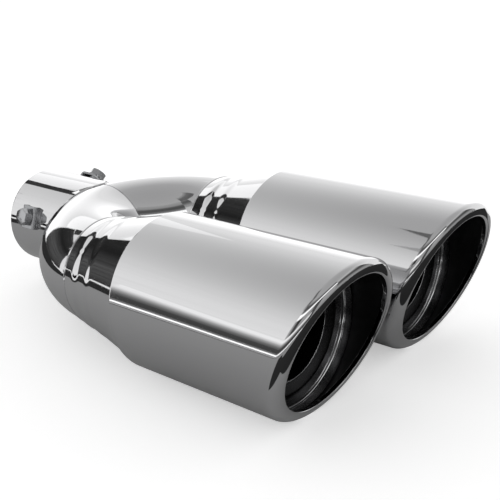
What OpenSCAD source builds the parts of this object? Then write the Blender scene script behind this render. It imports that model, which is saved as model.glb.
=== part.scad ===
// Twin-outlet slip-on exhaust tip in polished stainless sheet.
// A clamp-on inlet sleeve feeds two mitred bends. Each bend carries a beaded neck cone,
// a slash-cut outlet shell with a rolled rim, and a gas pipe held by a dished end ring.
// Frame: origin at the centre of the inlet sleeve's mouth, tailpipe towards +Y,
// outlets towards -Y, +Z up, left outlet at -X.

/* [Inlet sleeve] */
// Outside diameter of the sleeve that slips over the tailpipe
inlet_d = 63.5; // [60:0.5:64]
// Sheet thickness of the sleeve
inlet_wall = 1.5; // [1.2:0.1:1.8]
// From the sleeve's mouth to the pipe centreline where the two bends meet
inlet_len = 68.5; // [64:0.5:80]

/* [Bends] */
// Outside diameter of each bend, a little over the sleeve so that the sleeve can be coped to it
bend_d = 64.2; // [64.2:0.1:66]
// Sheet thickness of the bends
bend_wall = 1.5; // [1.2:0.1:1.8]
// Radius of each bend's centreline
bend_r = 65; // [60:0.5:72]
// How far each bend has turned from sideways towards its outlet, in degrees
bend_turn = 82; // [79:0.5:85]
// Half width of the dressed groove along the mitre where the two bends are welded
groove_w = 0.5; // [0.2:0.1:0.8]
// Depth of that groove
groove_depth = 0.4; // [0.2:0.1:0.6]

/* [Outlet shells] */
// Outside diameter of each outlet shell
shell_d = 88.9; // [84:0.1:93]
// Sheet thickness of the shells
shell_wall = 1.2; // [1:0.1:1.4]
// Distance between the two outlet axes
tip_spacing = 98; // [96:0.5:104]
// From the inlet's mouth to the plane of the outlet's mouth, on the outlet axis
rim_reach = 291.6; // [286:0.1:310]
// Slash angle of the mouth, top edge ahead of the bottom edge
slash_angle = 20; // [10:0.5:22]
// Radius of the quarter roll at the mouth
roll_r = 6.3; // [5:0.1:7]
// Thickness of the hem at the roll's inner edge
hem_t = 1.1; // [0.8:0.1:1.4]
// How far the hem runs back into the mouth
hem_len = 2.6; // [1:0.1:3]
// Round on the shell's rear edge
shell_edge = 0.8; // [0.3:0.1:0.9]

/* [Neck cones] */
// Sheet thickness of the neck cones
neck_wall = 1.1; // [0.9:0.1:1.3]
// How far the neck's rear edge stands proud of the bend
neck_lip = 0.3; // [0.1:0.1:0.8]
// Radius of the hollows between the raised beads
hollow_r = 17; // [14:0.5:20]
// Radius over the crest of each bead
crest_r = 1.8; // [1.4:0.1:2.4]
// Slope of the sheet as it climbs to a crest, in degrees
crest_up = 26; // [22:0.5:28]
// Slope of the sheet as it falls behind a crest, in degrees
crest_down = 8; // [5:0.5:10]
// Length of the neck from its seam on the bend to the shell's rear edge
neck_len = 52.4; // [50:0.1:60]
// How far the cone runs inside the shell
lap_len = 9; // [6:0.5:14]

/* [Gas pipes and end rings] */
// Outside diameter of the gas pipe inside each outlet
gas_d = 57.6; // [54:0.2:58]
// Sheet thickness of the gas pipes
gas_wall = 1; // [0.8:0.1:1.2]
// Length of the pipe's expanded seat in the neck
seat_len = 5; // [3:0.5:7]
// Slope between the seat and the pipe, in degrees
seat_slope = 15; // [12:1:20]
// From the inlet mouth to the gas pipe's open end
gas_reach = 262; // [256:0.5:263]
// How far the pipe stands out of its end ring
gas_proud = 1; // [0.5:0.1:2]
// Sheet thickness of the end rings
ring_wall = 1; // [0.8:0.1:1.2]
// Straight flange of the end ring, along the shell
ring_flange = 4; // [2:0.5:5]
// Radius of the end ring's corner
ring_corner_r = 2.5; // [2:0.1:4]
// Share of the end ring's face that is flat, the rest of it being dished
flat_share = 0.5; // [0.4:0.05:0.6]
// Slope of the end ring's dished part, in degrees
ring_dish = 20; // [10:1:25]
// Radius between the ring's flat and its dish
ring_dish_r = 3; // [2:0.5:5]

/* [Clamp brackets and bolts] */
// Height of the first bracket above the sleeve's left side, in degrees
bracket_angle = 19; // [10:1:30]
// From the sleeve's mouth to the middle of a bracket
bracket_reach = 23.3; // [18:0.1:26]
// Width of a bracket round the sleeve
bracket_w = 15; // [13:0.5:17]
// Length of a bracket along the sleeve
bracket_len = 13.6; // [12.5:0.1:16]
// Height of a bracket's face above the sleeve
bracket_rise = 3.4; // [3:0.1:5]
// Wall of the threaded collar under a bracket's face
collar_wall = 1.3; // [0.8:0.1:1.6]
// Sheet thickness of a bracket
bracket_wall = 1.6; // [1.2:0.1:1.8]
// Radius on the outside of a bracket's folds
bracket_fold_r = 2; // [1.9:0.1:2.5]
// Thread diameter of the set bolts
bolt_d = 6; // [5:0.5:6]
// Width across the flats of the bolt heads
bolt_flats = 10; // [9:0.5:10.5]
// Height of the bolt heads
bolt_head_h = 4; // [3.5:0.1:5]
// Chamfer on the bolt heads, across the corners
bolt_chamfer = 0.9; // [0.4:0.1:1.2]
// Outside diameter of the spring washers
washer_d = 11; // [10:0.1:11.5]
// Thickness of the spring washers
washer_t = 1.4; // [1:0.1:1.8]
// Opening of the split in the spring washers
washer_split = 0.9; // [0.5:0.1:1.5]

/* [Fit] */
// Clearance between sheet pieces that slip inside one another
slip = 0.1; // [0.05:0.05:0.2]
// Clearance of the bolts in their threaded collars
thread_slip = 0.1; // [0.05:0.05:0.15]
// Clearance of the bolts in the washers and in the sleeve's holes
bolt_slip = 0.3; // [0.2:0.1:0.5]

/* [Hidden] */
$fn = 96;
eps = 0.01;
ease = 0.005;
polished = "silver";
dull = "gray";

// Inlet and bends
inlet_r = inlet_d / 2;
bore_r = inlet_r - inlet_wall;
pipe_r = bend_d / 2;
bend_centre_x = tip_spacing / 2 - bend_r * sin(bend_turn);
mitre_start = asin(-bend_centre_x / bend_r);
bend_centre_y = inlet_len + bend_r * cos(mitre_start);
seam_y = bend_centre_y - bend_r * cos(bend_turn);
bend_reach = bend_r + pipe_r + 1;

// Neck cone. Its outer face is drawn along the outlet axis from the seam, as two hollows with
// a crest after each one and a straight flare, from the points where each meets the next.
shell_r = shell_d / 2;
neck_r = pipe_r + neck_lip;
lap_r = shell_r - shell_wall - slip;
hollow_1 = [0, neck_r + hollow_r];
crest_1 = hollow_1 - (hollow_r + crest_r) * face_of(crest_up);
hollow_2 = crest_1 + (hollow_r + crest_r) * face_of(-crest_down);
crest_2 = hollow_2 - (hollow_r + crest_r) * face_of(crest_up);
to_lap = [neck_len, lap_r] - crest_2;
flare_slope = atan2(to_lap[1], to_lap[0]) - asin(crest_r / norm(to_lap));
flare_foot = crest_2 + crest_r * face_of(flare_slope);
lap_start = seam_y + neck_len;

// Where the roll starts on the outlet axis
roll_reach = rim_reach - roll_r;
big = 4 * shell_d;

// Gas pipe and end ring
gas_r = gas_d / 2;
seat_r = neck_r - neck_wall - slip;
seat_run = (seat_r - gas_r) / tan(seat_slope);
ring_hole_r = gas_r + slip;
ring_face = lap_r - ring_corner_r - ring_dish_r * sin(ring_dish) - ring_hole_r
    - ring_wall * sin(ring_dish);
ring_flat = flat_share * ring_face;
ring_dish_len = (ring_face - ring_flat) / cos(ring_dish);
ring_depth = ring_corner_r + ring_dish_r * (1 - cos(ring_dish)) + ring_dish_len * sin(ring_dish);
ring_top = gas_reach - gas_proud - ring_wall * cos(ring_dish) + ring_depth + ring_flange;

// Brackets and bolts, as heights above the sleeve's axis
bracket_count = 3;
face_r = inlet_r + bracket_rise;
head_r = face_r + washer_t;
tip_r = bore_r + slip;
hex_r = bolt_flats / 2 / cos(30);

// Points square out of a face that rises along the outlet axis at an angle
function face_of(slope) = [-sin(slope), cos(slope)];

// Follows a strip's steps. A step is [0, length] for a straight or [radius, turn] for a bend,
// where the radius is the outer face's and a positive turn leads away from the axis.
// Returns the run, the rise and the heading at the end.
function path_end(steps, i = 0, at = [0, 0, 0]) =
    i == len(steps) ? at
    : path_end(steps, i + 1, steps[i][0] == 0 ? after_straight(steps[i][1], at)
        : after_bend(steps[i][0], steps[i][1], at));
function after_straight(length, at) =
    [at[0] + length * cos(at[2]), at[1] + length * sin(at[2]), at[2]];
function after_bend(radius, turn, at) =
    let (side = sign(turn), heading = at[2] + turn)
    [at[0] + side * radius * (sin(heading) - sin(at[2])),
    at[1] - side * radius * (cos(heading) - cos(at[2])), heading];

// A strip of sheet along its steps, with its outer face on the path
module strip(steps, wall, i = 0) {
    if (i < len(steps)) {
        size = steps[i][0];
        turn = steps[i][1];
        if (size == 0) {
            translate([0, -wall]) square([turn, wall]);
        } else {
            strip_bend(size, turn, wall);
        }
        end = path_end([steps[i]]);
        translate([end[0], end[1]]) rotate(end[2]) strip(steps, wall, i + 1);
    }
}

module strip_bend(radius, turn, wall) {
    side = sign(turn);
    outer = turn > 0 ? radius + wall : radius;
    reach = 2 * outer;
    translate([0, side * radius]) intersection() {
        difference() {
            circle(outer);
            circle(outer - wall);
        }
        polygon([[0, 0], [0, -side * reach],
            [reach * sin(abs(turn) / 2), -side * reach * cos(turn / 2)],
            [reach * sin(abs(turn)), -side * reach * cos(turn)]]);
    }
}

// Spins a section whose width runs along the outlet axis and whose height is the radius
module spin() {
    rotate_extrude() mirror([1, -1, 0]) children();
}

// Puts a piece that is drawn along +Z on an outlet's axis, -1 left and 1 right
module outlet(side) {
    translate([side * tip_spacing / 2, 0, 0]) rotate([90, 0, 0]) children();
}

// Leans a spun piece along the outlet axis, so that its square cuts become the slash cut while
// its sides stay in line with the shell
module slashed() {
    translate([0, 0, roll_reach])
        multmatrix([[1, 0, 0, 0], [0, 1, 0, 0], [0, tan(slash_angle), 1, 0], [0, 0, 0, 1]])
            children();
}

// Solid quarter bend on the right, and the part of it from the mitre plane to the seam plane
module quarter_bend(radius) {
    translate([bend_centre_x, -bend_centre_y, 0]) rotate_extrude(angle = 90)
        translate([bend_r, 0]) circle(radius);
}

module bend_solid(radius, past) {
    intersection() {
        quarter_bend(radius);
        translate([-past, -seam_y - past, -bend_reach]) cube(2 * bend_reach);
    }
}

module along_inlet(from, to) {
    translate([0, -from, 0]) rotate([90, 0, 0]) linear_extrude(to - from) children();
}

module inlet_sleeve() {
    color(polished) difference() {
        union() {
            sleeve_half();
            mirror([1, 0, 0]) sleeve_half();
        }
        along_inlet(-1, inlet_len + 1) circle(bore_r);
        for (i = [0 : bracket_count - 1]) {
            at_bracket(i) cylinder(r = bolt_d / 2 + bolt_slip, h = face_r);
        }
    }
}

// Right half of the sleeve, before it is bored, coped to the bend that it is welded to
module sleeve_half() {
    difference() {
        intersection() {
            along_inlet(0, inlet_len) circle(inlet_r);
            translate([0, -2 * inlet_len, -inlet_d]) cube([inlet_d, 2 * inlet_len, 2 * inlet_d]);
        }
        quarter_bend(pipe_r);
    }
}

module bend() {
    color(polished) difference() {
        bend_solid(pipe_r, 0);
        bend_solid(pipe_r - bend_wall, 1);
        along_inlet(0, inlet_len) circle(bore_r);
        mitre_groove();
    }
}

// Skin that is dressed off along the mitre, which shows as the line between the bends
module mitre_groove() {
    difference() {
        translate([-eps, -seam_y, -bend_reach]) cube([groove_w + eps, seam_y, 2 * bend_reach]);
        bend_solid(pipe_r - groove_depth, 1);
    }
}

module neck_cone() {
    color(polished) translate([0, 0, seam_y]) difference() {
        neck_solid(0, 0);
        neck_solid(neck_wall, 1);
    }
}

// Solid under the neck's outer face, or under its inner face when set in by the sheet. The crests
// and hollows are drawn a hair large, so that they cross where they would only touch.
module neck_solid(inset, past) {
    shift = inset * tan(flare_slope / 2);
    up = inset * face_of(crest_up);
    down = inset * face_of(-crest_down);
    difference() {
        union() {
            spin() polygon([[-past, 0], [-past, neck_r - inset + 1],
                hollow_1 - hollow_r * face_of(crest_up) - up,
                crest_1 + crest_r * face_of(-crest_down) - down,
                hollow_2 - hollow_r * face_of(crest_up) - up,
                flare_foot - inset * face_of(flare_slope),
                [neck_len + shift, lap_r - inset], [neck_len + lap_len + past, lap_r - inset],
                [neck_len + lap_len + past, 0]]);
            spin() translate(crest_1) circle(crest_r - inset + ease);
            spin() translate(crest_2) circle(crest_r - inset + ease);
        }
        spin() translate(hollow_1) circle(hollow_r + inset + ease);
        spin() translate(hollow_2) circle(hollow_r + inset + ease);
    }
}

module outlet_shell() {
    color(polished) {
        difference() {
            translate([0, 0, lap_start]) spin() translate([0, shell_r]) shell_section();
            slashed() translate([-big / 2, -big / 2, 0]) cube(big);
        }
        slashed() spin() rim_section();
    }
}

// Straight sheet of the shell with its rear outer edge rounded
module shell_section() {
    difference() {
        translate([0, -shell_wall]) square([rim_reach, shell_wall]);
        difference() {
            translate([-eps, -shell_edge]) square([shell_edge + eps, shell_edge + eps]);
            translate([shell_edge, -shell_edge]) circle(shell_edge);
        }
    }
}

// Section of the rim: the sheet rolls in through a quarter turn, and its edge is hemmed back
// into the mouth. Cut from a block, first outside the sheet and then inside.
module rim_section() {
    mouth_r = shell_r - roll_r;
    difference() {
        translate([0, mouth_r - hem_t]) square([roll_r, roll_r + hem_t]);
        difference() {
            translate([0, mouth_r]) square(roll_r + 1);
            translate([0, mouth_r]) circle(roll_r);
        }
        difference() {
            translate([roll_r - hem_t, mouth_r - hem_t - 1]) square(hem_t + 1);
            translate([roll_r - hem_t, mouth_r]) circle(hem_t);
        }
        intersection() {
            translate([0, mouth_r]) circle(roll_r - shell_wall);
            translate([-1, mouth_r]) square(2 * roll_r);
        }
        translate([-1, mouth_r - hem_t - 1]) square([roll_r - hem_t - hem_len + 1, hem_t + 1]);
    }
}

module gas_pipe() {
    color(dull) translate([0, 0, seam_y]) spin() difference() {
        gas_profile(0, 0);
        gas_profile(gas_wall, 1);
    }
}

// Area under the gas pipe's outer face, or under its inner face when set in by the sheet
module gas_profile(inset, past) {
    shift = inset * tan(seat_slope / 2);
    pipe_end = gas_reach - seam_y;
    polygon([[-past, 0], [-past, seat_r - inset], [seat_len - shift, seat_r - inset],
        [seat_len + seat_run - shift, gas_r - inset], [pipe_end + past, gas_r - inset],
        [pipe_end + past, 0]]);
}

// Dished ring that closes the space between the gas pipe and the shell
module end_ring() {
    ring_steps = [[0, ring_flange], [ring_corner_r, -90], [0, ring_flat],
        [ring_dish_r, ring_dish], [0, ring_dish_len]];
    color(dull) translate([0, 0, ring_top]) rotate_extrude() translate([lap_r, 0]) rotate(-90)
        strip(ring_steps, ring_wall);
}

// Places a piece drawn along +Z on a bracket's radius of the sleeve
module at_bracket(i) {
    translate([0, -bracket_reach, 0]) rotate([0, bracket_angle + i * 360 / bracket_count - 90, 0])
        children();
}

module clamp_bracket(i) {
    leg = bracket_rise + inlet_r - sqrt(pow(inlet_r, 2) - pow(bracket_w / 2, 2));
    fold = bracket_fold_r;
    face = bracket_len - 2 * fold;
    collar_r = bolt_d / 2 + collar_wall;
    collar_end = (inlet_r + face_r - bracket_wall) / 2;
    steps = [[0, leg], [fold, -90], [0, face], [fold, -90], [0, leg]];
    color(polished) difference() {
        at_bracket(i) {
            translate([0, -bracket_len / 2, face_r - fold - leg])
                rotate([90, 0, 90]) linear_extrude(bracket_w, center = true) rotate(90)
                    strip(steps, bracket_wall);
            translate([0, 0, collar_end]) cylinder(r = collar_r, h = face_r - eps - collar_end);
        }
        along_inlet(0, inlet_len) circle(inlet_r);
        at_bracket(i) cylinder(r = bolt_d / 2 + thread_slip, h = 2 * inlet_r);
    }
}

module spring_washer(i) {
    color(dull) at_bracket(i) translate([0, 0, face_r]) difference() {
        cylinder(d = washer_d, h = washer_t);
        translate([0, 0, -eps]) cylinder(r = bolt_d / 2 + bolt_slip, h = washer_t + 2 * eps);
        translate([0, -washer_split / 2, -eps]) cube([washer_d, washer_split, 2 * washer_t]);
    }
}

module set_bolt(i) {
    color(dull) at_bracket(i) {
        translate([0, 0, tip_r]) cylinder(d = bolt_d, h = head_r - tip_r);
        translate([0, 0, head_r]) intersection() {
            cylinder(r = hex_r, h = bolt_head_h, $fn = 6);
            cylinder(r1 = hex_r + bolt_head_h * 2, r2 = hex_r - bolt_chamfer, h = bolt_head_h);
        }
    }
}

inlet_sleeve();
mirror([1, 0, 0]) bend();  // bend_left
bend();  // bend_right
outlet(-1) neck_cone();  // neck_cone_left
outlet(1) neck_cone();  // neck_cone_right
outlet(-1) outlet_shell();  // outlet_shell_left
outlet(1) outlet_shell();  // outlet_shell_right
outlet(-1) gas_pipe();  // gas_pipe_left
outlet(1) gas_pipe();  // gas_pipe_right
outlet(-1) end_ring();  // end_ring_left
outlet(1) end_ring();  // end_ring_right
clamp_bracket(0);  // clamp_bracket_1
clamp_bracket(1);  // clamp_bracket_2
clamp_bracket(2);  // clamp_bracket_3
spring_washer(0);  // spring_washer_1
spring_washer(1);  // spring_washer_2
spring_washer(2);  // spring_washer_3
set_bolt(0);  // set_bolt_1
set_bolt(1);  // set_bolt_2
set_bolt(2);  // set_bolt_3
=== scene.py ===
import math

import bmesh
import bpy
from mathutils import Matrix, Vector


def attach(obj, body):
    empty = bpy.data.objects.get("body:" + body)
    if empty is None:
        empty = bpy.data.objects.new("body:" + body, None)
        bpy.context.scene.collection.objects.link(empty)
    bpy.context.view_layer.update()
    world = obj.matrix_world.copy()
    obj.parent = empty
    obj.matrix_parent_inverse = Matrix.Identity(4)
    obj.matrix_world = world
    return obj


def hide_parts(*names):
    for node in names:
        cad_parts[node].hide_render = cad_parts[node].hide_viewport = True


# Twin-outlet exhaust tip in mirror-polished stainless sheet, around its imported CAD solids.

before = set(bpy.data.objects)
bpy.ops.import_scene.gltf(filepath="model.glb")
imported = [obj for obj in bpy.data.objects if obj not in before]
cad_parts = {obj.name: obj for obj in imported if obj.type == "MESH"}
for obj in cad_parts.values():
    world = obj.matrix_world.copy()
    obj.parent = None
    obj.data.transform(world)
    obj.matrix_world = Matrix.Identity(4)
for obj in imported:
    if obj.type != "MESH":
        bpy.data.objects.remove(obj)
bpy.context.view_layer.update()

MM = 0.001

# Sizes of the CAD part, in millimetres and degrees
INLET_R = 31.75
BORE_R = 30.25
INLET_LEN = 68.5
INLET_EDGE = 0.35
PIPE_R = 32.1
BEND_R = 65.0
BEND_TURN = 82.0
TIP_X = 49.0
SHELL_R = 44.45
SHELL_WALL = 1.2
SHELL_EDGE = 0.8
RIM_REACH = 291.6
SLASH = math.tan(math.radians(20))
ROLL_R = 6.3
HEM_T = 1.1
HEM_LEN = 2.6
HEM_EDGE = 0.3
NECK_R = 32.4
NECK_WALL = 1.1
NECK_LEN = 52.4
LAP_R = 43.15
LAP_LEN = 9.0
GAS_R = 28.8
GAS_WALL = 1.0
GAS_EDGE = 0.3
SEAT_R = 31.2
SEAT_LEN = 5.0
SEAT_SLOPE = 15.0
GAS_REACH = 262.0
GAS_PROUD = 1.0
RING_WALL = 1.0
RING_FLANGE = 4.0
RING_CORNER_R = 2.5
RING_FLAT_SHARE = 0.5
RING_DISH = 20.0
RING_DISH_R = 3.0
RING_HOLE_R = 28.9
BRACKET_ANGLES = (19.0, 139.0, 259.0)
BRACKET_REACH = 23.3
BOLT_HOLE_R = 3.3

# Sizes of what is made here alone, in millimetres. The real beads of the neck are gentler than the
# CAD's, so it is made from slopes of its face in degrees at distances from the seam.
NECK_SLOPES = (
    (0.0, 14.0),
    (7.0, 14.0),
    (12.0, 3.0),
    (16.5, 13.5),
    (21.0, 13.5),
    (25.0, 8.0),
    (29.0, 13.5),
    (NECK_LEN, 13.5),
)
NECK_STEP = 0.4
WELD_R = 0.8
WELD_SINK = 0.1
BRACKET_EDGE = 0.2
WASHER_EDGE = 0.12
BOLT_EDGE = 0.15
# Radii between which the cutters of the bolt holes reach through the sleeve
HOLE_FROM, HOLE_TO = 20.0, 40.0
# How far the shells' dark inside, painted shade, goes on into the roll, and how far short the end
# rings' dark flange, painted shade, stops
INSIDE_SHADE_REACH = 3.0
FLANGE_MARGIN = 0.2

BEND_X = TIP_X - BEND_R * math.sin(math.radians(BEND_TURN))
BEND_Y = INLET_LEN + math.sqrt(BEND_R**2 - BEND_X**2)
SEAM = BEND_Y - BEND_R * math.cos(math.radians(BEND_TURN))

# Steps round a full turn, and how far apart points may be to be merged, in metres
ROUND = 256
HOLE_ROUND = 64
BEND_STEPS = 120
SPIN_MERGE = 1e-7
CAD_MERGE = 1e-6
CUT_MERGE = 2e-6
# Angles from which an edge is shaded sharp or is broken, and under which faces are one flat
SHARP_ANGLE = math.radians(28)
BROKEN_ANGLE = math.radians(40)
FLAT_ANGLE = math.radians(0.4)


# ---------- colours and materials ----------

# Noise values that most of a noise texture lies between
NOISE_LOW, NOISE_HIGH = 0.3, 0.7


def srgb(code):
    """Linear colour, with alpha 1, of an sRGB hex value."""
    parts = [int(code[i : i + 2], 16) / 255 for i in (1, 3, 5)]
    return [c / 12.92 if c <= 0.04045 else ((c + 0.055) / 1.055) ** 2.4 for c in parts] + [1.0]


def add_node(tree, kind, settings=(), values=(), links=()):
    """Adds a node with its settings, the values of its sockets and the links into it."""
    node = tree.nodes.new(kind)
    for name, value in dict(settings).items():
        setattr(node, name, value)
    for name, value in dict(values).items():
        node.inputs[name].default_value = value
    for name, source in dict(links).items():
        tree.links.new(source, node.inputs[name])
    return node


def empty_material(name):
    """A new material and its node tree, which is still empty."""
    material = bpy.data.materials.new(name)
    material.use_nodes = True
    material.node_tree.nodes.clear()
    return material, material.node_tree


def steel(name, colour, roughness, waviness, grain):
    """Bare steel sheet. Waviness in millimetres is how far the polished face is out of true over
    a few centimetres, which bends its reflections; grain is how much the polish varies."""
    material, tree = empty_material(name)
    place = add_node(tree, "ShaderNodeTexCoord")
    swell = add_node(
        tree,
        "ShaderNodeTexNoise",
        {"noise_dimensions": "3D"},
        {"Scale": 28.0, "Detail": 1.0, "Roughness": 0.4},
        {"Vector": place.outputs["Object"]},
    )
    buffing = add_node(
        tree,
        "ShaderNodeTexNoise",
        {"noise_dimensions": "3D"},
        {"Scale": 420.0, "Detail": 3.0, "Roughness": 0.6},
        {"Vector": place.outputs["Object"]},
    )
    sheen = add_node(
        tree,
        "ShaderNodeMapRange",
        (),
        {
            "From Min": NOISE_LOW,
            "From Max": NOISE_HIGH,
            "To Min": max(roughness - grain, 0.0),
            "To Max": roughness + grain,
        },
        {"Value": buffing.outputs["Fac"]},
    )
    relief = add_node(
        tree,
        "ShaderNodeBump",
        (),
        {"Strength": 1.0, "Distance": waviness * MM},
        {"Height": swell.outputs["Fac"]},
    )
    surface = add_node(
        tree,
        "ShaderNodeBsdfPrincipled",
        (),
        {"Base Color": srgb(colour), "Metallic": 1.0},
        {"Roughness": sheen.outputs["Result"], "Normal": relief.outputs["Normal"]},
    )
    add_node(tree, "ShaderNodeOutputMaterial", (), (), {"Surface": surface.outputs["BSDF"]})
    return material


# Mirror-polished stainless: nearly a mirror, a little darker than silver, with faint waves
polished = steel(
    "mirror_polished_stainless", "#D6D6D7", roughness=0.05, waviness=0.05, grain=0.015
)
# Mill-finish stainless inside the gas pipes and on the end rings' dish: soft grey reflections,
# with a dark colour that is painted shade for the shadow deep in the outlets
inner = steel("mill_finish_painted_shade", "#4A4A4B", roughness=0.26, waviness=0.03, grain=0.03)
# Deep-drawn stainless of the end rings' flats and the pipes' outside, which catches the light
drawn = steel("drawn_stainless", "#DCDCDD", roughness=0.12, waviness=0.03, grain=0.02)
# Unpolished stainless of the shells' inside, in its own shadow; its dark colour is painted shade
# for that shadow
shell_inside = steel(
    "unpolished_inside_painted_shade", "#4C4C4D", roughness=0.35, waviness=0.03, grain=0.06
)
# Brushed stainless of the clamp brackets, darker and softer than the mirror polish round them
brushed = steel("brushed_stainless", "#A0A1A3", roughness=0.22, waviness=0.02, grain=0.03)
# Zinc-plated steel of the bolts and washers
plated = steel("zinc_plated_steel", "#AFB0B2", roughness=0.20, waviness=0.005, grain=0.02)


# ---------- profiles ----------


def arc(centre, radius, start, end, step=4.0):
    """Points along an arc of a profile, as (along the outlet, radius) in millimetres."""
    count = max(2, math.ceil(abs(end - start) / step))
    return [
        (
            centre[0] + radius * math.cos(math.radians(start + (end - start) * i / count)),
            centre[1] + radius * math.sin(math.radians(start + (end - start) * i / count)),
        )
        for i in range(count + 1)
    ]


def run(start, end, near=0.4, longest=12.0):
    """Points along a straight of a profile, with one close to each end so that the shading of the
    straight isn't pulled by the curves beside it."""
    length = math.dist(start, end)
    if length < 3 * near:
        return [start, end]
    inner_length = length - 2 * near
    count = max(1, math.ceil(inner_length / longest))
    marks = [0.0] + [near + inner_length * i / count for i in range(count + 1)] + [length]
    return [
        (
            start[0] + (end[0] - start[0]) * m / length,
            start[1] + (end[1] - start[1]) * m / length,
        )
        for m in marks
    ]


def joined(*stretches):
    """One closed profile from its stretches, without the points that repeat."""
    same = 1e-4
    points = []
    for stretch in stretches:
        for p in stretch:
            if not points or math.dist(p, points[-1]) > same:
                points.append(p)
    if math.dist(points[0], points[-1]) < same:
        points.pop()
    return points


def out_of(slope):
    """Unit step square out of a face that rises along the outlet at an angle."""
    return Vector((-math.sin(math.radians(slope)), math.cos(math.radians(slope))))


# ---------- making pieces ----------


def in_scene(name, data):
    """A new object of the scene that holds the data."""
    thing = bpy.data.objects.new(name, data)
    bpy.context.scene.collection.objects.link(thing)
    return thing


def mesh_object(name, bm):
    """A new object of the scene made of a bmesh, which is used up."""
    mesh = bpy.data.meshes.new(name)
    bm.to_mesh(mesh)
    bm.free()
    return in_scene(name, mesh)


def mark_sharp(bm):
    """Smooth faces, with sharp edges where the surface turns a corner."""
    for face in bm.faces:
        face.smooth = True
    for edge in bm.edges:
        if len(edge.link_faces) == 2:
            edge.smooth = edge.calc_face_angle(0.0) < SHARP_ANGLE


def finished(bm, name, materials, slot_name, *nodes):
    """Makes a piece of a bmesh, gives it its materials and lets it stand for its CAD nodes."""
    mark_sharp(bm)
    piece = mesh_object(name, bm)
    for material in materials:
        piece.data.materials.append(material)
    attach(piece, "root")
    if nodes:
        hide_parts(*nodes)
    return piece


def spun(bm, geometry, centre, axis, angle, steps, closed):
    """Spins geometry of a bmesh round an axis, and joins its ends if the turn is closed."""
    bmesh.ops.spin(
        bm,
        geom=geometry,
        cent=centre,
        axis=axis,
        dvec=(0, 0, 0),
        angle=angle,
        steps=steps,
        use_merge=closed,
        use_normal_flip=False,
        use_duplicate=False,
    )


def revolved(profile, axis_x):
    """A bmesh of a closed profile spun round the line x = axis_x that runs along Y."""
    bm = bmesh.new()
    ring = [bm.verts.new((axis_x * MM, -a * MM, r * MM)) for a, r in profile]
    edges = [bm.edges.new((ring[i - 1], ring[i])) for i in range(len(ring))]
    spun(bm, ring + edges, (axis_x * MM, 0, 0), (0, 1, 0), 2 * math.pi, ROUND, True)
    bmesh.ops.remove_doubles(bm, verts=bm.verts, dist=SPIN_MERGE)
    bmesh.ops.recalc_face_normals(bm, faces=bm.faces)
    return bm


def face_places(bm, axis_x):
    """Each face of a bmesh with its middle and that middle's distance from an outlet's axis."""
    for face in bm.faces:
        middle = face.calc_center_median()
        yield face, middle, math.hypot(middle.x - axis_x * MM, middle.z)


def subtract(name, bm, cutters):
    """The bmesh with solid cutters taken out of it."""
    blank = mesh_object(f"{name}_blank", bm)
    tools = []
    for i, cutter in enumerate(cutters):
        tools.append(mesh_object(f"{name}_cutter_{i}", cutter))
        cut = blank.modifiers.new(f"cut_{i}", "BOOLEAN")
        cut.operation = "DIFFERENCE"
        cut.solver = "EXACT"
        cut.object = tools[i]
    bpy.context.view_layer.update()
    result = bpy.data.meshes.new_from_object(
        blank.evaluated_get(bpy.context.evaluated_depsgraph_get())
    )
    out = bmesh.new()
    out.from_mesh(result)
    for thing in [blank] + tools:
        bpy.data.objects.remove(thing)
    bmesh.ops.remove_doubles(out, verts=out.verts, dist=CUT_MERGE)
    return out


def bolt_hole_cutter(angle):
    """A bmesh of a round bar through the sleeve's wall, at an angle round the sleeve."""
    bm = bmesh.new()
    out = Vector((-math.cos(math.radians(angle)), 0, math.sin(math.radians(angle))))
    at = Vector((0, -BRACKET_REACH, 0))
    start, end = (at + out * HOLE_FROM) * MM, (at + out * HOLE_TO) * MM
    along = end - start
    turn = along.to_track_quat("Z", "Y").to_matrix().to_4x4()
    bmesh.ops.create_cone(
        bm,
        cap_ends=True,
        cap_tris=False,
        segments=HOLE_ROUND,
        radius1=BOLT_HOLE_R * MM,
        radius2=BOLT_HOLE_R * MM,
        depth=along.length,
        matrix=Matrix.Translation((start + end) / 2) @ turn,
    )
    return bm


def bend_cutter(side):
    """A bmesh of the solid quarter turn that the bend on one side fills."""
    bm = bmesh.new()
    bmesh.ops.create_circle(
        bm,
        cap_ends=True,
        segments=ROUND,
        radius=PIPE_R * MM,
        matrix=Matrix.Translation(((BEND_X + BEND_R) * MM, -BEND_Y * MM, 0))
        @ Matrix.Rotation(math.pi / 2, 4, "X"),
    )
    whole = bm.verts[:] + bm.edges[:] + bm.faces[:]
    centre = (BEND_X * MM, -BEND_Y * MM, 0)
    spun(bm, whole, centre, (0, 0, 1), math.pi / 2, BEND_STEPS, False)
    bmesh.ops.remove_doubles(bm, verts=bm.verts, dist=SPIN_MERGE)
    if side < 0:
        bmesh.ops.scale(bm, vec=(-1, 1, 1), verts=bm.verts)
    bmesh.ops.recalc_face_normals(bm, faces=bm.faces)
    return bm


# ---------- pieces ----------


def bend(word):
    """The CAD bend keeps its mesh, with the mitre's groove in it, and gets the polished steel."""
    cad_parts[f"bend_{word}"].material_slots[0].material = polished


def sleeve():
    """The inlet sleeve, coped to both bends, with the holes for its three bolts."""
    edge = INLET_EDGE
    profile = joined(
        arc((edge, INLET_R - edge), edge, 180, 90, 15),
        run((edge, INLET_R), (INLET_LEN, INLET_R), longest=6),
        run((INLET_LEN, BORE_R), (edge, BORE_R), longest=6),
        arc((edge, BORE_R + edge), edge, 270, 180, 15),
    )
    cutters = [bend_cutter(side) for side in (-1, 1)]
    cutters += [bolt_hole_cutter(angle) for angle in BRACKET_ANGLES]
    bm = subtract("inlet_sleeve", revolved(profile, 0), cutters)
    return finished(bm, "inlet_sleeve_skin", [polished], "polished_steel", "inlet_sleeve")


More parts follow.
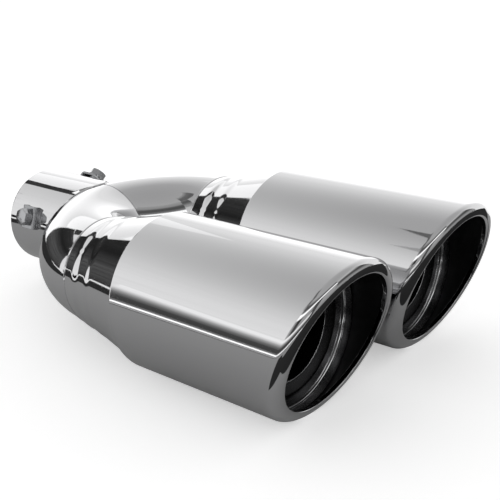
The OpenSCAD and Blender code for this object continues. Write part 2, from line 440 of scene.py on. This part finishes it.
def neck_slope(s):
    """Slope of the neck's face at a distance from the seam, eased between the stated ones."""
    for (a, low), (b, high) in zip(NECK_SLOPES, NECK_SLOPES[1:]):
        if s <= b:
            t = (s - a) / (b - a)
            return low + (high - low) * t * t * (3 - 2 * t)
    return NECK_SLOPES[-1][1]


def neck(side, word):
    """One neck cone, with two raised beads and a straight flare up to its lap in the shell."""
    step = NECK_STEP
    count = round(NECK_LEN / step)
    rises = [
        math.tan(math.radians(neck_slope((i + 0.5) * step))) * step for i in range(count)
    ]
    gain = (LAP_R - NECK_R) / sum(rises)

    def face(inset):
        """The outer face when inset is 0, the inner face when it is the sheet's thickness."""
        points = []
        radius = NECK_R
        for i in range(count + 1):
            away = -inset * out_of(neck_slope(i * step))
            points.append((i * step + away.x, radius + away.y))
            radius += gain * rises[i] if i < count else 0.0
        return joined(points, run(points[-1], (NECK_LEN + LAP_LEN, LAP_R - inset)))

    profile = [(a + SEAM, r) for a, r in face(0) + face(NECK_WALL)[::-1]]
    bm = revolved(profile, side * TIP_X)
    return finished(
        bm, f"neck_cone_{word}_sheet", [polished], "polished_steel", f"neck_cone_{word}"
    )


def shell(side, word):
    """One outlet shell. The profile has the straight sheet, the roll and the hem; after the spin
    everything from the rear on leans along the axis, which makes the slash cut."""
    rear = SEAM + NECK_LEN
    roll = RIM_REACH - ROLL_R
    mouth = SHELL_R - ROLL_R
    hem_front = roll + ROLL_R - HEM_T
    hem_rear = hem_front - HEM_LEN + HEM_EDGE
    outer = joined(
        arc((rear + SHELL_EDGE, SHELL_R - SHELL_EDGE), SHELL_EDGE, 180, 90, 9),
        run((rear + SHELL_EDGE, SHELL_R), (roll, SHELL_R)),
        arc((roll, mouth), ROLL_R, 90, 0, 3),
        arc((hem_front, mouth), HEM_T, 0, -90, 9),
    )
    hem = joined(
        run((hem_front, mouth - HEM_T), (hem_rear, mouth - HEM_T)),
        arc((hem_rear, mouth - HEM_T + HEM_EDGE), HEM_EDGE, 270, 180, 30),
        arc((hem_rear, mouth - HEM_EDGE), HEM_EDGE, 180, 90, 30),
        run((hem_rear, mouth), (roll + ROLL_R - SHELL_WALL, mouth)),
    )
    inside = joined(
        arc((roll, mouth), ROLL_R - SHELL_WALL, 0, 90, 5),
        run((roll, SHELL_R - SHELL_WALL), (rear, SHELL_R - SHELL_WALL)),
    )
    axis_x = side * TIP_X
    bm = revolved(joined(outer, hem, inside), axis_x)
    straight = (roll - rear) * MM
    for v in bm.verts:
        share = min(max((-v.co.y - rear * MM) / straight, 0.0), 1.0)
        v.co.y -= SLASH * v.co.z * share
    bmesh.ops.recalc_face_normals(bm, faces=bm.faces)
    # The inward faces behind the roll get the dark inside steel, painted shade for the shadow
    # inside the shell
    for face, middle, radius in face_places(bm, axis_x):
        inward = face.normal.dot(Vector((middle.x - axis_x * MM, 0, middle.z))) < 0
        behind = -middle.y - SLASH * middle.z < (roll + INSIDE_SHADE_REACH) * MM
        between = mouth * MM < radius < (SHELL_R - SHELL_WALL / 2) * MM
        face.material_index = 1 if inward and behind and between else 0
    return finished(
        bm,
        f"outlet_shell_{word}_sheet",
        [polished, shell_inside],
        "polished_steel",
        f"outlet_shell_{word}",
    )


def gas_pipe(side, word):
    """One gas pipe, with its expanded seat at the rear."""
    slope = (SEAT_R - GAS_R) / math.tan(math.radians(SEAT_SLOPE))
    front = GAS_REACH - GAS_EDGE

    def face(inset):
        """The outer face when inset is 0, the inner face when it is the sheet's thickness."""
        turn = inset * math.tan(math.radians(SEAT_SLOPE / 2))
        seat = (SEAM + SEAT_LEN - turn, SEAT_R - inset)
        pipe = (SEAM + SEAT_LEN + slope - turn, GAS_R - inset)
        tip = (front, GAS_R - inset)
        return joined(run((SEAM, SEAT_R - inset), seat), run(seat, pipe), run(pipe, tip))

    end = joined(
        arc((front, GAS_R - GAS_EDGE), GAS_EDGE, 90, 0, 22),
        arc((front, GAS_R - GAS_WALL + GAS_EDGE), GAS_EDGE, 0, -90, 22),
    )
    bm = revolved(joined(face(0), end, face(GAS_WALL)[::-1]), side * TIP_X)
    # The pipe's inner wall gets the dark inner steel, painted shade for the shadow down the pipe
    for f, middle, radius in face_places(bm, side * TIP_X):
        in_painted_shade = radius < (GAS_R - GAS_WALL / 2) * MM and middle.y > -front * MM
        f.material_index = 1 if in_painted_shade else 0
    return finished(
        bm, f"gas_pipe_{word}_tube", [drawn, inner], "inner_steel", f"gas_pipe_{word}"
    )


def seam_weld(side, word):
    """The low polished bead of the weld between a bend and its neck cone."""
    bm = revolved(arc((SEAM, PIPE_R - WELD_SINK), WELD_R, 0, 360, 20)[:-1], side * TIP_X)
    finished(bm, f"seam_weld_{word}", [polished], "polished_steel")


def saddle_weld():
    """The polished bead along the curve where the sleeve's face meets the two bends."""
    path = bpy.data.curves.new("saddle_path", "CURVE")
    path.dimensions = "3D"
    path.bevel_depth = WELD_R * MM
    path.bevel_resolution = 4
    line = path.splines.new("POLY")
    line.points.add(ROUND - 1)
    line.use_cyclic_u = True
    for i, point in enumerate(line.points):
        turn = 2 * math.pi * i / ROUND
        x, z = INLET_R * math.sin(turn), INLET_R * math.cos(turn)
        reach = BEND_R + math.sqrt(PIPE_R**2 - z**2)
        y = math.sqrt(reach**2 - (abs(x) - BEND_X) ** 2) - BEND_Y
        point.co = (x * MM, y * MM, z * MM, 1)
    holder = in_scene("saddle_path", path)
    bpy.context.view_layer.update()
    bm = bmesh.new()
    bm.from_mesh(holder.to_mesh())
    bpy.data.objects.remove(holder)
    bmesh.ops.recalc_face_normals(bm, faces=bm.faces)
    finished(bm, "saddle_weld", [polished], "polished_steel")


def end_ring(side, word):
    """One dished end ring, from its flange in the shell to its hole round the gas pipe."""
    dish = math.radians(RING_DISH)
    face_width = (
        LAP_R
        - RING_CORNER_R
        - RING_DISH_R * math.sin(dish)
        - RING_HOLE_R
        - RING_WALL * math.sin(dish)
    )
    flat_width = RING_FLAT_SHARE * face_width
    dish_len = (face_width - flat_width) / math.cos(dish)
    depth = RING_CORNER_R + RING_DISH_R * (1 - math.cos(dish)) + dish_len * math.sin(dish)
    top = GAS_REACH - GAS_PROUD - RING_WALL * math.cos(dish) + depth + RING_FLANGE
    bottom = top - RING_FLANGE - RING_CORNER_R
    corner = (top - RING_FLANGE, LAP_R - RING_CORNER_R)
    flat_end = LAP_R - RING_CORNER_R - flat_width
    hinge = (bottom - RING_DISH_R, flat_end)

    def face(inset):
        """The rear face when inset is 0, the front face when it is the sheet's thickness."""
        reach = RING_DISH_R + inset
        start = (hinge[0] + reach * math.cos(dish), hinge[1] - reach * math.sin(dish))
        end = (start[0] - dish_len * math.sin(dish), start[1] - dish_len * math.cos(dish))
        return joined(
            run((top, LAP_R - inset), (corner[0], LAP_R - inset)),
            arc(corner, RING_CORNER_R - inset, 90, 180, 6),
            run((bottom + inset, corner[1]), (bottom + inset, flat_end)),
            arc(hinge, reach, 0, -RING_DISH, 4),
            run(start, end),
        )

    bm = revolved(joined(face(0), face(RING_WALL)[::-1]), side * TIP_X)
    # The dish and the flange's front get the dark inner steel, painted shade for where they lie in
    # shadow; the flats keep the bright drawn steel
    flange = (top - RING_FLANGE + FLANGE_MARGIN) * MM
    for f, middle, radius in face_places(bm, side * TIP_X):
        f.material_index = 1 if radius < flat_end * MM or -middle.y > flange else 0
    return finished(
        bm, f"end_ring_{word}_sheet", [drawn, inner], "inner_steel", f"end_ring_{word}"
    )


def dressed_copy(node, material, slot_name, edge):
    """A merged copy of a CAD node whose corners are broken by a small bevel."""
    bm = bmesh.new()
    bm.from_mesh(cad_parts[node].data)
    bmesh.ops.remove_doubles(bm, verts=bm.verts, dist=CAD_MERGE)
    bmesh.ops.dissolve_limit(
        bm,
        angle_limit=FLAT_ANGLE,
        verts=bm.verts,
        edges=bm.edges,
        use_dissolve_boundaries=False,
    )
    piece = finished(bm, f"{node}_metal", [material], slot_name, node)
    bevel = piece.modifiers.new("broken_edges", "BEVEL")
    bevel.width = edge * MM
    bevel.segments = 2
    bevel.limit_method = "ANGLE"
    bevel.angle_limit = BROKEN_ANGLE
    bevel.harden_normals = False
    return piece


for side, word in ((-1, "left"), (1, "right")):
    bend(word)
    neck(side, word)
    shell(side, word)
    seam_weld(side, word)
    gas_pipe(side, word)
    end_ring(side, word)
sleeve()
saddle_weld()
for number in (1, 2, 3):
    dressed_copy(f"clamp_bracket_{number}", brushed, "polished_steel", BRACKET_EDGE)
    dressed_copy(f"spring_washer_{number}", plated, "hardware_steel", WASHER_EDGE)
    dressed_copy(f"set_bolt_{number}", plated, "hardware_steel", BOLT_EDGE)


# ---------- floor and cards ----------

# Middle of the object, which the studio is set out round, and the height that the shells rest on.
# Lengths are in metres and angles in degrees from here on.
MIDDLE = Vector((0, -0.17, 0))
FLOOR_Z = -SHELL_R * MM
# Brightness that full white in a ramp stands for, so that a ramp can go over 1
RAMP_WHITE = 2.0


def plain(name, colour, roughness, lift=None):
    """A plain painted surface for the studio. Lift is a little light of its own that only the
    camera, glossy and transmission rays see, which brings a pale floor up to white."""
    material, tree = empty_material(name)
    surface = add_node(
        tree,
        "ShaderNodeBsdfPrincipled",
        (),
        {"Base Color": srgb(colour), "Roughness": roughness, "Specular IOR Level": 0.0},
    )
    shown = surface.outputs["BSDF"]
    if lift:
        path = add_node(tree, "ShaderNodeLightPath")
        direct = add_node(
            tree,
            "ShaderNodeMath",
            {"operation": "ADD"},
            (),
            {0: path.outputs["Is Camera Ray"], 1: path.outputs["Is Glossy Ray"]},
        )
        seen = add_node(
            tree,
            "ShaderNodeMath",
            {"operation": "ADD", "use_clamp": True},
            (),
            {0: direct.outputs["Value"], 1: path.outputs["Is Transmission Ray"]},
        )
        glow = add_node(
            tree,
            "ShaderNodeEmission",
            (),
            {"Color": srgb(lift)},
            {"Strength": seen.outputs["Value"]},
        )
        both = add_node(
            tree, "ShaderNodeAddShader", (), (), {0: shown, 1: glow.outputs["Emission"]}
        )
        shown = both.outputs["Shader"]
    add_node(tree, "ShaderNodeOutputMaterial", (), (), {"Surface": shown})
    return material


def set_ramp(ramp, tones):
    """Fills a colour ramp with grey tones given as (position, brightness)."""
    for i, (position, tone) in enumerate(tones):
        stop = ramp.elements[i] if i < 2 else ramp.elements.new(position)
        stop.position = position
        stop.color = (tone / RAMP_WHITE, tone / RAMP_WHITE, tone / RAMP_WHITE, 1)


def level_streaks(tree, place, across, upward, detail):
    """Noise drawn out into level streaks, from how fine it is across and how fine upward."""
    flatten = add_node(
        tree, "ShaderNodeMapping", (), {"Scale": (across, across, upward)}, {"Vector": place}
    )
    streak = add_node(
        tree,
        "ShaderNodeTexNoise",
        (),
        {"Scale": 1.0, "Detail": detail, "Roughness": 0.6},
        {"Vector": flatten.outputs["Vector"]},
    )
    return streak.outputs["Fac"]


def lit_card(name, low, high, tones, streaks=0.0):
    """A card that glows by itself, in tones that are given from its low to its high edge as
    (share of the way, brightness) with 1 as white, the two ends first. Streaks is how much level
    streaks vary it."""
    material, tree = empty_material(name)
    place = add_node(tree, "ShaderNodeTexCoord")
    split = add_node(tree, "ShaderNodeSeparateXYZ", (), (), {"Vector": place.outputs["Object"]})
    way = add_node(
        tree,
        "ShaderNodeMapRange",
        (),
        {"From Min": low, "From Max": high},
        {"Value": split.outputs["Z"]},
    )
    tone = add_node(tree, "ShaderNodeValToRGB", (), (), {"Fac": way.outputs["Result"]})
    set_ramp(tone.color_ramp, tones)
    swing = add_node(
        tree,
        "ShaderNodeMapRange",
        (),
        {
            "From Min": NOISE_LOW,
            "From Max": NOISE_HIGH,
            "To Min": RAMP_WHITE * (1 - streaks),
            "To Max": RAMP_WHITE * (1 + streaks),
        },
        {"Value": level_streaks(tree, place.outputs["Object"], 1.2, 110.0, 2.0)},
    )
    glow = add_node(
        tree,
        "ShaderNodeEmission",
        (),
        (),
        {"Color": tone.outputs["Color"], "Strength": swing.outputs["Result"]},
    )
    add_node(tree, "ShaderNodeOutputMaterial", (), (), {"Surface": glow.outputs["Emission"]})
    return material


def staged(name, bm, material):
    """Puts a bmesh in the scene as studio kit."""
    card = mesh_object(name, bm)
    card.data.materials.append(material)
    return card


def panel(name, centre, normal, width, height, material):
    """A flat rectangle of studio kit that faces along its normal."""
    bm = bmesh.new()
    turn = Vector(normal).to_track_quat("Z", "Y").to_matrix().to_4x4()
    bmesh.ops.create_grid(bm, x_segments=1, y_segments=1, size=0.5)
    bmesh.ops.scale(bm, vec=(width, height, 1), verts=bm.verts)
    bmesh.ops.transform(bm, matrix=Matrix.Translation(centre) @ turn, verts=bm.verts)
    return staged(name, bm, material)


def unseen(card):
    """Keeps a card out of everything but the polished metal's reflections."""
    card.visible_camera = False
    card.visible_shadow = False
    card.visible_diffuse = False
    card.visible_transmission = False
    return card


def lying(name, x, y, layer, width, length, material):
    """A card that lies on the floor, in one of a few layers a millimetre apart."""
    centre = (x, y, FLOOR_Z + layer * MM)
    return unseen(panel(name, centre, (0, 0, 1), width, length, material))


def standing(name, azimuth, low, high, width, distance, material):
    """A card that stands round the object at an azimuth from +Y towards +X, between two
    elevations that are seen from the middle of the object."""
    a = math.radians(azimuth)
    foot = distance * math.tan(math.radians(low))
    top = distance * math.tan(math.radians(high))
    out = Vector((math.sin(a), math.cos(a), 0))
    centre = MIDDLE + out * distance + Vector((0, 0, (foot + top) / 2))
    return unseen(panel(name, centre, -out, width, top - foot, material))


def curved(name, start, end, low, high, distance, material):
    """A card that curves round the object from one azimuth to another, between two heights."""
    bm = bmesh.new()
    a = math.radians(start)
    edge = [
        bm.verts.new(MIDDLE + Vector((math.sin(a) * distance, math.cos(a) * distance, z)))
        for z in (low, high)
    ]
    geometry = edge + [bm.edges.new(edge)]
    spun(bm, geometry, MIDDLE, (0, 0, 1), -math.radians(end - start), 64, False)
    return unseen(staged(name, bm, material))


def softbox(name, azimuth, low, high, width, distance, strength):
    """A rectangular soft light that faces the object from an azimuth and between two
    elevations. Strength is the brightness of its face, with 1 as white."""
    a, e = math.radians(azimuth), math.radians((low + high) / 2)
    out = Vector((math.sin(a) * math.cos(e), math.cos(a) * math.cos(e), math.sin(e)))
    height = 2 * distance * math.tan(math.radians((high - low) / 2))
    lamp = bpy.data.lights.new(name, "AREA")
    lamp.shape = "RECTANGLE"
    lamp.size = width
    lamp.size_y = height
    lamp.energy = strength * math.pi * width * height
    box = in_scene(name, lamp)
    box.location = MIDDLE + out * distance
    box.rotation_euler = out.to_track_quat("Z", "Y").to_euler()
    return box


FLOOR_SIZE = 14
floor_paint = plain("pale_floor", "#F4F4F4", 0.9, "#B0B0B0")
panel("floor", (0, 0, FLOOR_Z), (0, 0, 1), FLOOR_SIZE, FLOOR_SIZE, floor_paint)

# Cards on the floor: a grey one under the object gives the metal its grey undersides, and dark
# ones at the foot of the black flag, beside the near rim and in front of the far rim give the
# dark reflections there
grey_card = plain("grey_card", "#B4B4B4", 1.0)
soft_black = plain("soft_black_card", "#3A3A3A", 1.0)
lying("grey_table", -0.2, -0.35, 1, 1.0, 1.5, grey_card)
lying("flag_foot", -0.14, 1.03, 2, 0.55, 1.66, soft_black)
lying("rim_patch", -0.20, -0.303, 3, 0.17, 0.06, soft_black)
lying("front_table", 0.22, -0.61, 2, 0.86, 0.58, soft_black)

# The black flag behind the tailpipe's side, which the necks and the bends show
FAR = 2.0
flag = lit_card(
    "flag_card", -0.05, 1.2, [(0.0, 0.05), (1.0, 0.05), (0.3, 0.10), (0.6, 0.02)], 0.6
)
standing("flag_back", -5.5, -2, 30, 0.96, FAR, flag)
standing("flag_left", -21.5, -2, 24, 0.25, FAR, flag)
standing("flag_post", 5, 30, 42, 0.33, FAR, flag)

# The shade high up on the left, in two stretches, and the black line that the sleeve shows
SHADE_LOW, SHADE_SPLIT, SHADE_HIGH = 1.3, 2.15, 3.3
shade = lit_card(
    "shade_card",
    SHADE_LOW,
    SHADE_HIGH,
    [(0.0, 0.5), (1.0, 0.5), (0.25, 0.12), (0.7, 0.18)],
    0.3,
)
curved("flag_high", -66, -12, SHADE_SPLIT, SHADE_HIGH, 1.2, shade)
curved("flag_high_left", -88, -46, SHADE_LOW, SHADE_SPLIT, 1.21, shade)
standing("sleeve_line", -36, -1.7, 1.5, 0.3, 1.5, plain("black_card", "#0A0A0A", 1.0))

# The low backdrop on the left, whose dark foot between two bright lines is what the polished
# shells show as their horizon
HORIZON_HIGH = 0.11
HORIZON_DISTANCE = 0.42
horizon = lit_card(
    "horizon_card",
    FLOOR_Z,
    HORIZON_HIGH,
    [
        (0.0, 0.12),
        (1.0, 1.10),
        (0.035, 0.12),
        (0.045, 0.55),
        (0.085, 0.55),
        (0.092, 0.12),
        (0.115, 0.12),
        (0.122, 1.7),
        (0.185, 1.7),
        (0.197, 0.20),
        (0.26, 0.20),
        (0.28, 0.07),
        (0.45, 0.07),
        (0.60, 0.25),
        (0.71, 0.60),
        (0.84, 1.25),
    ],
    0.12,
)
curved("horizon", -150, -52, FLOOR_Z, HORIZON_HIGH, HORIZON_DISTANCE, horizon)

# The dim room on the camera's side, with a strip light high up, two dark posts in front of it,
# and its dark far corner
ROOM_HIGH = 1.69
ROOM_DISTANCE = 0.9
POST_HIGH = 0.62
POST_DISTANCE = 0.88
CORNER_HIGH = 0.95
room = lit_card(
    "room_card",
    FLOOR_Z,
    ROOM_HIGH,
    [
        (0.0, 0.35),
        (1.0, 0.45),
        (0.18, 0.45),
        (0.385, 0.40),
        (0.40, 1.5),
        (0.505, 1.5),
        (0.52, 0.30),
        (0.62, 0.10),
        (0.72, 0.12),
        (0.80, 0.35),
    ],
    0.15,
)
curved("room", -185, -68, FLOOR_Z, ROOM_HIGH, ROOM_DISTANCE, room)
curved("post_left", -109, -84, FLOOR_Z, POST_HIGH, POST_DISTANCE, flag)
curved("post_middle", -160, -143, FLOOR_Z, POST_HIGH, POST_DISTANCE, flag)
corner_card = lit_card(
    "corner_card",
    FLOOR_Z,
    CORNER_HIGH,
    [
        (0.0, 0.15),
        (1.0, 0.7),
        (0.09, 0.42),
        (0.20, 0.36),
        (0.34, 0.22),
        (0.44, 0.09),
        (0.62, 0.10),
    ],
    0.3,
)
curved("corner", 122, 176, FLOOR_Z, CORNER_HIGH, ROOM_DISTANCE, corner_card)

# The bright side of the room, right of the black flag
WINDOW_SPLIT, WINDOW_HIGH = 0.81, 1.45
window = lit_card("window_card", FLOOR_Z, WINDOW_SPLIT, [(0.0, 1.45), (1.0, 1.0), (0.45, 1.5)])
window_top = lit_card("window_top_card", WINDOW_SPLIT, WINDOW_HIGH, [(0.0, 1.4), (1.0, 1.1)])
curved("window", 9, 76, FLOOR_Z, WINDOW_SPLIT, FAR, window)
curved("window_top", 9, 38, WINDOW_SPLIT, WINDOW_HIGH, FAR, window_top)


# ---------- light and camera ----------

softbox("window_light", 36, -6, 20, 0.8, 1.1, 0.4).visible_glossy = False

world = bpy.data.worlds.new("studio")
bpy.context.scene.world = world
world.use_nodes = True
sky = world.node_tree
sky.nodes.clear()
# The sky's tones, from the horizon up, by the sine of the elevation
direction = add_node(sky, "ShaderNodeTexCoord")
height = add_node(
    sky, "ShaderNodeSeparateXYZ", (), (), {"Vector": direction.outputs["Generated"]}
)
tone = add_node(sky, "ShaderNodeValToRGB", (), (), {"Fac": height.outputs["Z"]})
set_ramp(
    tone.color_ramp,
    [(0.0, 1.05), (1.0, 0.46), (0.40, 1.02), (0.58, 0.86), (0.72, 0.68), (0.84, 0.52)],
)
# Faint level streaks low in the sky, as of a room's far wall, which fade out higher up
depth = add_node(
    sky,
    "ShaderNodeMapRange",
    (),
    {"From Min": 0.25, "From Max": 0.60, "To Min": 0.7, "To Max": 0.0},
    {"Value": height.outputs["Z"]},
)
centred = add_node(
    sky,
    "ShaderNodeMath",
    {"operation": "SUBTRACT"},
    {1: 0.5},
    {0: level_streaks(sky, direction.outputs["Generated"], 1.0, 45.0, 3.0)},
)
swing = add_node(
    sky,
    "ShaderNodeMath",
    {"operation": "MULTIPLY_ADD"},
    {2: RAMP_WHITE},
    {0: centred.outputs["Value"], 1: depth.outputs["Result"]},
)
light = add_node(
    sky,
    "ShaderNodeBackground",
    (),
    (),
    {"Color": tone.outputs["Color"], "Strength": swing.outputs["Value"]},
)
add_node(sky, "ShaderNodeOutputWorld", (), (), {"Surface": light.outputs["Background"]})

# The camera stands where the photograph was taken from, found by fitting the part's outlines
AZIMUTH = math.radians(-47.13)
ELEVATION = math.radians(20.33)
ROLL = math.radians(-3.41)
DISTANCE = 0.54405
AIM = Vector((0.00045, -0.19164, 0.01196))
camera_data = bpy.data.cameras.new("camera")
camera_data.sensor_width = 36.0
camera_data.lens = 68.1
camera_data.clip_start = 0.01
camera_data.clip_end = 50.0
camera = in_scene("camera", camera_data)
back = Vector(
    (
        math.sin(AZIMUTH) * math.cos(ELEVATION),
        -math.cos(AZIMUTH) * math.cos(ELEVATION),
        math.sin(ELEVATION),
    )
)
right = (-back).cross(Vector((0, 0, 1))).normalized()
up = right.cross(-back)
level = Matrix((right, up, back)).transposed()
camera.rotation_euler = (level @ Matrix.Rotation(ROLL, 3, "Z")).to_euler()
camera.location = AIM + back * DISTANCE
bpy.context.scene.camera = camera

bpy.context.scene.view_settings.view_transform = "Standard"
